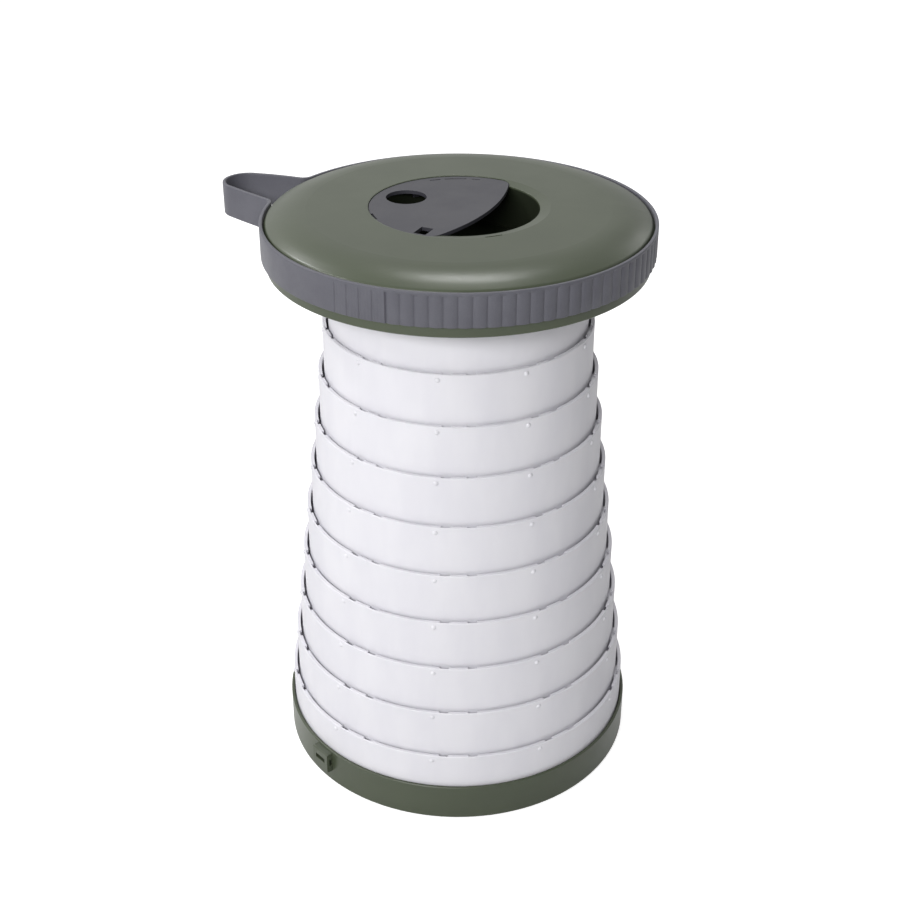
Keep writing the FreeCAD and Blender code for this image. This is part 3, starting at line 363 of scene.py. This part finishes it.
# Black rubber of the pads: dull, with dust in its grain.
PAD_RUBBER = Moulding(
    "pad_rubber", colour="2A2B2B", drift_colour="353636", drift_mm=9, grain_mm=0.6,
    grain_depth_mm=0.06, roughness_low=0.7, roughness_high=0.85, ior=1.5, speckle=0.08)
SCREW_STEEL = ZincPlatedSteel()


def deselect_all() -> None:
    """Leave nothing selected, in object mode."""
    if bpy.context.object and bpy.context.object.mode != "OBJECT":
        bpy.ops.object.mode_set(mode="OBJECT")
    bpy.ops.object.select_all(action="DESELECT")


def select_points(piece: bpy.types.Object, chosen: Callable[[Vector], bool]) -> None:
    """Select a mesh's points by their place, and go to edit mode.

    Args:
        piece: the mesh object.
        chosen: says whether a point at a place is wanted.
    """
    bpy.context.view_layer.objects.active = piece
    bpy.ops.object.mode_set(mode="EDIT")
    bpy.ops.mesh.select_mode(type="VERT")
    bpy.ops.mesh.select_all(action="DESELECT")
    bpy.ops.object.mode_set(mode="OBJECT")
    for vertex in piece.data.vertices:
        vertex.select = chosen(vertex.co)
    bpy.ops.object.mode_set(mode="EDIT")


def apply_modifier(piece: bpy.types.Object, kind: str, settings: dict[str, Any]) -> None:
    """Add a modifier to the active object and apply it.

    Args:
        piece: the object, made the active one.
        kind: the modifier's type.
        settings: its property values by name.
    """
    bpy.context.view_layer.objects.active = piece
    modifier = piece.modifiers.new(kind.title(), kind)
    for name, setting in settings.items():
        setattr(modifier, name, setting)
    bpy.ops.object.modifier_apply(modifier=modifier.name)


class Finish(Enum):
    """The finishes a piece of the stool can have."""

    OLIVE = OLIVE_POLYPROPYLENE
    WHITE = WHITE_POLYPROPYLENE
    GRAPHITE = GRAPHITE_ABS
    STRAP = STRAP_RUBBER
    PAD = PAD_RUBBER
    STEEL = SCREW_STEEL


class Wardrobe:
    """The finished materials, each made once, and the pieces they dress."""

    def __init__(self, pieces: dict[str, bpy.types.Object]) -> None:
        """Make every finish.

        Args:
            pieces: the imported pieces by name.
        """
        self.pieces = pieces
        self.materials = {finish: finish.value.build() for finish in Finish}

    def dress(self, piece: bpy.types.Object, finish: Finish) -> None:
        """Give every material slot of a piece the same finish.

        Args:
            piece: the piece.
            finish: its finish.
        """
        if not piece.material_slots:
            piece.data.materials.append(self.materials[finish])
        for slot in piece.material_slots:
            slot.material = self.materials[finish]
        log.info("%s: %s", piece.name, finish.value.name)

    def dress_named(self, name: str, finish: Finish) -> None:
        """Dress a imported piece.

        Args:
            name: the piece's name.
            finish: its finish.
        """
        self.dress(self.pieces[name], finish)


@dataclass
class RingStack:
    """The telescoping rings, all of one white moulding material."""

    count: int = 10
    finish: Finish = Finish.WHITE

    def build(self, wardrobe: Wardrobe) -> None:
        """Dress every ring.

        Args:
            wardrobe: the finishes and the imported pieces.
        """
        for number in range(1, self.count + 1):
            wardrobe.dress_named(f"ring_{number:02d}", self.finish)


@dataclass
class Base:
    """The base pan with its pads, the strap keeper and the keeper's screws."""

    pan_finish: Finish = Finish.OLIVE
    pad_finish: Finish = Finish.PAD
    screw_finish: Finish = Finish.STEEL

    def build(self, wardrobe: Wardrobe) -> None:
        """Dress the base's pieces.

        Args:
            wardrobe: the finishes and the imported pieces.
        """
        wardrobe.dress_named("base_pan", self.pan_finish)
        wardrobe.dress_named("strap_keeper", self.pan_finish)
        wardrobe.dress_named("base_feet", self.pad_finish)
        wardrobe.dress_named("keeper_screws", self.screw_finish)


@dataclass
class Seat:
    """The seat's two halves, the grip plate and the screws that hold them."""

    shell_finish: Finish = Finish.OLIVE
    plate_finish: Finish = Finish.GRAPHITE
    screw_finish: Finish = Finish.STEEL

    def build(self, wardrobe: Wardrobe) -> None:
        """Dress the seat's pieces.

        Args:
            wardrobe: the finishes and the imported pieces.
        """
        wardrobe.dress_named("seat_cover", self.shell_finish)
        wardrobe.dress_named("seat_underplate", self.shell_finish)
        wardrobe.dress_named("grip_plate", self.plate_finish)
        wardrobe.dress_named("seat_screws", self.screw_finish)
        wardrobe.dress_named("ring_screws", self.screw_finish)


@dataclass
class CarryStrap:
    """The moulded belt round the seat: ribbed in front, and run out to a carry loop.

    The belt is one sheet on edge. It goes round the seat from the loop's near
    root to its far root, out along the far leg, round the tip and back in.

    Attributes:
        inner_radius: the band's inner face.
        outer_radius: the band's outer face.
        low: the height of the lower edge.
        high: the height of the upper edge.
        edge_round: the rounding of the edges.
        edge_segments: the facets of that rounding.
        corner_turn: edges that turn more than this are rounded.
        smooth_turn: faces that turn less than this shade as one.
        top_border: the plain border over the ribs.
        groove_ease: the height in which a groove runs out under the border.
        ease_lines: the level lines cut there.
        rib_count: the ribs that would go once round.
        steps_per_rib: the upright lines for each rib.
        grooves: the grooves, the first ones faint.
        rib_start: the turn of the first groove.
        groove_depth: how deep a full groove is.
        rib_crown: how far a rib's face falls away to its sides.
        faint_ribs: the ribs at the start that are only hinted at.
        faint_depth: how deep their grooves are.
        fine_line_steps: the steps from one fine line to the next on them.
        fine_depth: how deep the fine lines are.
        loop_turn: the turn at which the loop points away from the seat.
        loop_tip_out: how far out the tip's centre is.
        loop_tip_side: how far the tip's centre is off the loop's line.
        loop_tip_radius: the tip's outer radius.
        loop_leg_turn: how much each leg turns from the loop's line.
        loop_root_radius: the hollow where a leg leaves the band.
        bend_steps: the steps round that hollow.
        leg_steps: the steps along a leg.
        tip_steps: the steps round the tip.
        far_leg_bow: how far the far leg bows out.
        near_leg_bow: how far the near leg bows out.
        skin_depth: how deep under the outer face a point still belongs to it.
        skin_slack: how far off the outer face a point still belongs to it.
        weld_gap: points closer than this become one.
        finish: the belt's finish.
    """

    inner_radius: float = 122.9 * MM
    outer_radius: float = 125.0 * MM
    low: float = 368.4 * MM
    high: float = 389.8 * MM
    edge_round: float = 0.55 * MM
    edge_segments: int = 3
    corner_turn: float = math.radians(50)
    smooth_turn: float = math.radians(28)
    top_border: float = 1.7 * MM
    groove_ease: float = 0.5 * MM
    ease_lines: int = 3
    rib_count: int = 94
    steps_per_rib: int = 12
    grooves: int = 51
    rib_start: float = math.radians(235.1)
    groove_depth: float = 0.95 * MM
    rib_crown: float = 0.75 * MM
    faint_ribs: int = 4
    faint_depth: float = 0.3 * MM
    fine_line_steps: int = 3
    fine_depth: float = 0.12 * MM
    loop_turn: float = math.radians(150.3)
    loop_tip_out: float = 155.9 * MM
    loop_tip_side: float = 11.5 * MM
    loop_tip_radius: float = 16.2 * MM
    loop_leg_turn: float = math.radians(13.2)
    loop_root_radius: float = 6.0 * MM
    bend_steps: int = 10
    leg_steps: int = 12
    tip_steps: int = 28
    far_leg_bow: float = 0.7 * MM
    near_leg_bow: float = 0.3 * MM
    skin_depth: float = 0.66 * MM
    skin_slack: float = 0.1 * MM
    weld_gap: float = 0.01 * MM
    finish: Finish = Finish.STRAP

    @property
    def wall(self) -> float:
        """Work out the belt's thickness.

        Returns:
            The thickness in metres.
        """
        return self.outer_radius - self.inner_radius

    @property
    def middle_radius(self) -> float:
        """Work out the radius of the belt's middle line round the seat.

        Returns:
            The radius in metres.
        """
        return (self.inner_radius + self.outer_radius) / 2

    @property
    def lines_round(self) -> int:
        """Count the upright lines that would go once round.

        Returns:
            The count.
        """
        return self.rib_count * self.steps_per_rib

    @property
    def step_turn(self) -> float:
        """Work out the turn from one upright line to the next.

        Returns:
            The turn in radians.
        """
        return math.tau / self.lines_round

    @property
    def tip_centre(self) -> Vector:
        """Find the centre of the loop's tip, before the loop is turned to its place.

        Returns:
            The centre, seen from above.
        """
        return Vector((self.loop_tip_out, self.loop_tip_side, 0))

    def build(self, wardrobe: Wardrobe) -> None:
        """Model the belt, dress it and show it in place of the plain strap.

        Args:
            wardrobe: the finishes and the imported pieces.
        """
        near = self.leg_route(1, self.near_leg_bow)
        far = self.leg_route(-1, self.far_leg_bow)
        near_root = math.atan2(near[0].y, near[0].x) % math.tau
        far_root = math.atan2(far[0].y, far[0].x) % math.tau
        # The steps are counted from the first groove, so that a line falls in each groove.
        first_step = math.ceil((near_root - self.rib_start) / self.step_turn)
        start = self.rib_start + first_step * self.step_turn
        steps = math.floor((far_root + math.tau - start) / self.step_turn)
        belt = self.spin_band(start, steps)
        near.reverse()
        self.draw_out(self.on_band(start + steps * self.step_turn),
                      far + self.tip_route() + near + [self.on_band(start)])
        self.give_wall(belt)
        self.press_ribs(belt)
        bpy.ops.object.shade_smooth_by_angle(angle=self.smooth_turn)
        wardrobe.dress_named("carry_strap", self.finish)
        wardrobe.dress(belt, self.finish)
        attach(belt, "seat")
        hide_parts("carry_strap")

    def spin_band(self, start: float, steps: int) -> bpy.types.Object:
        """Spin an upright line round the seat.

        Args:
            start: the turn of its first place.
            steps: how many steps it goes on.

        Returns:
            The sheet, in edit mode, with its last line selected.
        """
        deselect_all()
        height = self.high - self.low
        first = self.on_band(start)
        middle = first * (1 + height / 2 / self.middle_radius)
        bpy.ops.mesh.primitive_plane_add(
            size=height, location=(middle.x, middle.y, self.low + height / 2),
            rotation=(math.radians(90), 0, start))
        belt = bpy.context.object
        belt.name = "strap_belt"
        bpy.ops.object.transform_apply(location=True, rotation=True, scale=True)
        select_points(belt, lambda place: place.xy.length > self.middle_radius + height / 2)
        bpy.ops.mesh.delete(type="VERT")
        bpy.ops.mesh.select_all(action="SELECT")
        bpy.ops.mesh.spin(steps=steps, angle=steps * self.step_turn, center=(0, 0, 0), axis=(0, 0, -1))
        return belt

    def on_band(self, turn: float) -> Vector:
        """Give the place on the belt's middle line at a turn round the seat.

        Args:
            turn: the turn from +X.

        Returns:
            The place, seen from above.
        """
        return Vector((self.middle_radius * math.cos(turn), self.middle_radius * math.sin(turn), 0))

    def draw_out(self, here: Vector, route: list[Vector]) -> None:
        """Draw the sheet's last line on along a route, and close the belt.

        Args:
            here: where the last line stands.
            route: the places to go through, ending at the sheet's first line.
        """
        for there in route:
            bpy.ops.mesh.extrude_region_move(TRANSFORM_OT_translate={"value": there - here})
            here = there

    def give_wall(self, belt: bpy.types.Object) -> None:
        """Close the sheet, cut the lines where the ribs end, and give it its wall.

        Args:
            belt: the sheet, in edit mode.
        """
        bpy.ops.mesh.select_all(action="SELECT")
        bpy.ops.mesh.remove_doubles(threshold=self.weld_gap)
        for eases in range(self.ease_lines):
            level = self.high - self.top_border - eases * self.groove_ease
            bpy.ops.mesh.select_all(action="SELECT")
            bpy.ops.mesh.bisect(plane_co=(0, 0, level), plane_no=(0, 0, 1))
        bpy.ops.mesh.select_all(action="SELECT")
        bpy.ops.mesh.normals_make_consistent(inside=False)
        bpy.ops.object.mode_set(mode="OBJECT")
        apply_modifier(belt, "SOLIDIFY", {"thickness": self.wall, "offset": 0.0, "use_even_offset": True})
        apply_modifier(belt, "BEVEL", {"width": self.edge_round, "segments": self.edge_segments,
                                       "limit_method": "ANGLE", "angle_limit": self.corner_turn})

    def step_of(self, place: Vector) -> int:
        """Count the spin steps from the first groove to a place, to the nearest one.

        Args:
            place: a place on the band.

        Returns:
            The steps, going round from the front to the right.
        """
        turn = math.atan2(place.y, place.x) - self.rib_start
        return round(turn / self.step_turn) % self.lines_round

    def groove_gap(self, step: int) -> int:
        """Count the steps from a line to the nearest groove.

        Args:
            step: the line's step.

        Returns:
            The steps: 0 for a line in a groove.
        """
        return min(step % self.steps_per_rib, -step % self.steps_per_rib)

    def press(self, belt: bpy.types.Object, depth: float, wanted: Callable[[int], bool]) -> None:
        """Draw some of the outer face's lines inwards.

        Args:
            belt: the belt with its wall.
            depth: how far.
            wanted: says whether the line at a step is one of them.
        """
        face_high = self.high - self.top_border - self.groove_ease / 2
        skin = self.outer_radius - self.skin_depth

        def on_line(place: Vector) -> bool:
            """Say whether a place is on a wanted line, under the border.

            Args:
                place: a point of the belt.

            Returns:
                True when it is.
            """
            return (skin < math.hypot(place.x, place.y) < self.outer_radius + self.skin_slack
                    and place.z < face_high and wanted(self.step_of(place)))

        select_points(belt, on_line)
        factor = 1 - depth / self.outer_radius
        bpy.ops.transform.resize(value=(factor, factor, 1), center_override=(0, 0, 0))
        bpy.ops.object.mode_set(mode="OBJECT")

    def press_ribs(self, belt: bpy.types.Object) -> None:
        """Draw lines of points inwards, so that ribs stand between them.

        Args:
            belt: the belt with its wall.
        """
        full = self.faint_ribs * self.steps_per_rib
        last = (self.grooves - 1) * self.steps_per_rib
        half = self.steps_per_rib // 2
        # The first ribs are only hinted at, with fine lines between their grooves.
        self.press(belt, self.fine_depth,
                   lambda step: step < full and step % self.fine_line_steps == 0)
        self.press(belt, self.faint_depth, lambda step: step < full and self.groove_gap(step) == 0)
        for gap in range(1, half):
            # The ribs' faces fall away towards the grooves.
            self.press(belt, self.rib_crown * (1 - gap / half) ** 2,
                       lambda step, gap=gap: full <= step <= last and self.groove_gap(step) == gap)
        self.press(belt, self.groove_depth,
                   lambda step: full <= step <= last and self.groove_gap(step) == 0)

    def leg_route(self, side: int, bow: float) -> list[Vector]:
        """List the places from where the belt leaves the seat to where a leg meets the tip.

        Args:
            side: 1 for the near leg and -1 for the far leg.
            bow: how far the leg bows outwards.

        Returns:
            The places along the belt's middle line, at the stool's own turn.
        """
        outwards = Vector((math.sin(self.loop_leg_turn), side * math.cos(self.loop_leg_turn), 0))
        inwards = Vector((-math.cos(self.loop_leg_turn), side * math.sin(self.loop_leg_turn), 0))
        leg_start = self.tip_centre + outwards * (self.loop_tip_radius - self.wall / 2)
        bend = self.loop_root_radius + self.wall / 2
        # The bend's centre stands off the band and off the leg by its radius.
        base = leg_start + outwards * bend
        run = base.dot(inwards)
        length = -run - math.sqrt(run * run - base.length_squared + (self.middle_radius + bend) ** 2)
        centre = base + inwards * length
        first = math.atan2(-centre.y, -centre.x)
        sweep = math.remainder(math.atan2(-outwards.y, -outwards.x) - first, math.tau)
        places = []
        for step in range(self.bend_steps + 1):
            turn = first + sweep * step / self.bend_steps
            places.append(centre + Vector((math.cos(turn), math.sin(turn), 0)) * bend)
        for step in range(1, self.leg_steps + 1):
            share = step / self.leg_steps
            places.append(leg_start + inwards * length * (1 - share)
                          + outwards * bow * math.sin(math.pi * share))
        return [self.turned(place) for place in places]

    def tip_route(self) -> list[Vector]:
        """List the places round the loop's tip, from the far leg to the near leg.

        Returns:
            The places along the belt's middle line, at the stool's own turn.
        """
        radius = self.loop_tip_radius - self.wall / 2
        half = math.pi / 2 - self.loop_leg_turn
        places = []
        for step in range(1, self.tip_steps):
            turn = half * (2 * step / self.tip_steps - 1)
            places.append(self.tip_centre + Vector((math.cos(turn), math.sin(turn), 0)) * radius)
        return [self.turned(place) for place in places]

    def turned(self, place: Vector) -> Vector:
        """Turn a place of the loop to where the loop stands.

        Args:
            place: a place seen from above, with the loop pointing along +X.

        Returns:
            The place at the stool's own turn.
        """
        cos, sin = math.cos(self.loop_turn), math.sin(self.loop_turn)
        return Vector((place.x * cos - place.y * sin, place.x * sin + place.y * cos, 0))


@dataclass(frozen=True)
class Softbox:
    """A soft rectangular lamp.

    Attributes:
        name: its name.
        place: where it stands, in metres.
        aim: the place it points at.
        width: its width in metres.
        height: its height in metres.
        power: its power in watts.
    """

    name: str
    place: tuple[float, float, float]
    aim: tuple[float, float, float]
    width: float
    height: float
    power: float

    def build(self) -> None:
        """Stand the lamp in its place."""
        deselect_all()
        towards = Vector(self.aim) - Vector(self.place)
        bpy.ops.object.light_add(type="AREA", location=self.place,
                                 rotation=towards.to_track_quat("-Z", "Y").to_euler())
        lamp = bpy.context.object
        lamp.name = self.name
        lamp.data.shape = "RECTANGLE"
        lamp.data.size = self.width
        lamp.data.size_y = self.height
        lamp.data.energy = self.power


# The two top lamps draw the streaks on the seat's crowned edge; the others light the stool.
SOFTBOXES = (
    Softbox("front_softbox", (-0.7, -1.8, 1.3), (0, 0, 0.2), width=1.3, height=0.4, power=31),
    Softbox("left_softbox", (-1.8, -0.2, 1.5), (0, 0, 0.25), width=0.8, height=0.35, power=8),
    Softbox("top_softbox", (0.05, 0.6, 1.75), (0, 0, 0.39), width=0.5, height=0.08, power=6),
    Softbox("left_top_softbox", (-1.15, 0.8, 1.5), (0, 0, 0.39), width=0.35, height=0.08, power=7),
    Softbox("back_softbox", (1.3, 1.5, 1.3), (0, 0, 0.25), width=0.7, height=0.4, power=2),
)


@dataclass
class Studio:
    """The pale floor, the soft lamps, the room and the camera.

    Attributes:
        floor_size: the floor's width in metres.
        floor_grey: how much light the floor gives back.
        floor_roughness: the floor's roughness.
        floor_shine: the strength of its mirror-like share.
        floor_glow: the extra light that makes it white to the eye.
        floor_mirror_glow: the extra light that polished pieces see in it.
        fill_light: the room's soft light on the stool.
        mirror_light: the extra light that polished pieces see in the room.
        left_share: the room's light on the left, as a share.
        right_share: the room's light on the right, as a share.
        fall_reach: how far to either side the light goes on changing.
        camera_place: where the camera stands.
        camera_tilt: its tilt up from looking straight down.
        camera_lens_mm: its focal length.
        camera_sensor_mm: its sensor's width.
    """

    floor_size: float = 14.0
    floor_grey: float = 0.72
    floor_roughness: float = 0.9
    floor_shine: float = 0.1
    floor_glow: float = 0.72
    floor_mirror_glow: float = 0.15
    fill_light: float = 0.37
    mirror_light: float = 0.27
    left_share: float = 1.35
    right_share: float = 0.72
    fall_reach: float = 0.8
    camera_place: tuple[float, float, float] = (-0.0055, -0.8810, 0.7128)
    camera_tilt: float = math.radians(60.825)
    camera_lens_mm: float = 59.03
    camera_sensor_mm: float = 36.0

    def build(self) -> None:
        """Make the floor, the room, the lamps and the camera."""
        self.build_floor()
        self.build_surroundings()
        for softbox in SOFTBOXES:
            softbox.build()
            log.info("%s: %.0f W", softbox.name, softbox.power)
        self.build_camera()

    def build_floor(self) -> None:
        """Lay the floor: white to the eye, and it keeps the stool's shadow."""
        deselect_all()
        bpy.ops.mesh.primitive_plane_add(size=self.floor_size, location=(0, 0, 0))
        floor = bpy.context.object
        floor.name = "studio_floor"
        material, tree = new_material("white_studio_floor")
        shader = add_node(tree, "ShaderNodeBsdfPrincipled", {}, {
            "Base Color": (self.floor_grey, self.floor_grey, self.floor_grey, 1),
            "Roughness": self.floor_roughness, "Specular IOR Level": self.floor_shine})
        glow = add_node(tree, "ShaderNodeEmission", {}, {
            "Color": WHITE_LIGHT,
            "Strength": self.extra_strength(tree, self.floor_glow, self.floor_mirror_glow)})
        both = add_node(tree, "ShaderNodeAddShader", {}, {
            0: shader.outputs["BSDF"], 1: glow.outputs["Emission"]})
        add_node(tree, "ShaderNodeOutputMaterial", {}, {"Surface": both.outputs["Shader"]})
        floor.data.materials.append(material)

    def extra_strength(self, tree: bpy.types.NodeTree, eye: float,
                       mirror: float) -> bpy.types.NodeSocket:
        """Give a strength that only some rays see.

        Args:
            tree: the node tree.
            eye: what rays from the camera get.
            mirror: what rays off gloss and through glass get.

        Returns:
            The output that carries the strength.
        """
        path = add_node(tree, "ShaderNodeLightPath", {}, {})
        shiny = add_node(tree, "ShaderNodeMath", {"operation": "MAXIMUM"}, {
            0: path.outputs["Is Glossy Ray"], 1: path.outputs["Is Transmission Ray"]})
        shine = add_node(tree, "ShaderNodeMath", {"operation": "MULTIPLY"}, {
            0: shiny.outputs[0], 1: mirror})
        return add_node(tree, "ShaderNodeMath", {"operation": "MULTIPLY_ADD"}, {
            0: path.outputs["Is Camera Ray"], 1: eye, 2: shine.outputs[0]}).outputs[0]

    def build_surroundings(self) -> None:
        """Fill the room with soft light, stronger from the left; the eye sees white."""
        world = bpy.data.worlds.new("studio_room")
        bpy.context.scene.world = world
        world.use_nodes = True
        tree = world.node_tree
        tree.nodes.clear()
        towards = add_node(tree, "ShaderNodeTexCoord", {}, {}).outputs["Generated"]
        split = add_node(tree, "ShaderNodeSeparateXYZ", {}, {"Vector": towards})
        side = add_range(tree, split.outputs["X"], (-self.fall_reach, self.fall_reach),
                         (self.left_share, self.right_share), "SMOOTHSTEP")
        soft = add_node(tree, "ShaderNodeMath", {"operation": "ADD"}, {
            0: self.extra_strength(tree, 0.0, self.mirror_light), 1: self.fill_light})
        lit = add_node(tree, "ShaderNodeMath", {"operation": "MULTIPLY"}, {
            0: soft.outputs[0], 1: side})
        strength = add_node(tree, "ShaderNodeMath", {"operation": "MAXIMUM"}, {
            0: lit.outputs[0], 1: self.extra_strength(tree, 1.0, 0.0)})
        sky = add_node(tree, "ShaderNodeBackground", {}, {
            "Color": WHITE_LIGHT, "Strength": strength.outputs[0]})
        add_node(tree, "ShaderNodeOutputWorld", {}, {"Surface": sky.outputs["Background"]})

    def build_camera(self) -> None:
        """Stand the camera where the photograph was taken from."""
        deselect_all()
        bpy.ops.object.camera_add(location=self.camera_place, rotation=(self.camera_tilt, 0, 0))
        camera = bpy.context.object
        camera.name = "studio_camera"
        camera.data.lens = self.camera_lens_mm
        camera.data.sensor_width = self.camera_sensor_mm
        bpy.context.scene.camera = camera


def main() -> None:
    """Build and dress the stool, piece by piece, and set up the studio."""
    logging.basicConfig(level=logging.INFO, format="%(message)s")
    wardrobe = Wardrobe(frame["nodes"])
    for assembly in (RingStack(), Base(), Seat(), CarryStrap()):
        assembly.build(wardrobe)
    Studio().build()
    bpy.context.scene.view_settings.view_transform = "Standard"


if __name__ == "__main__":
    main()
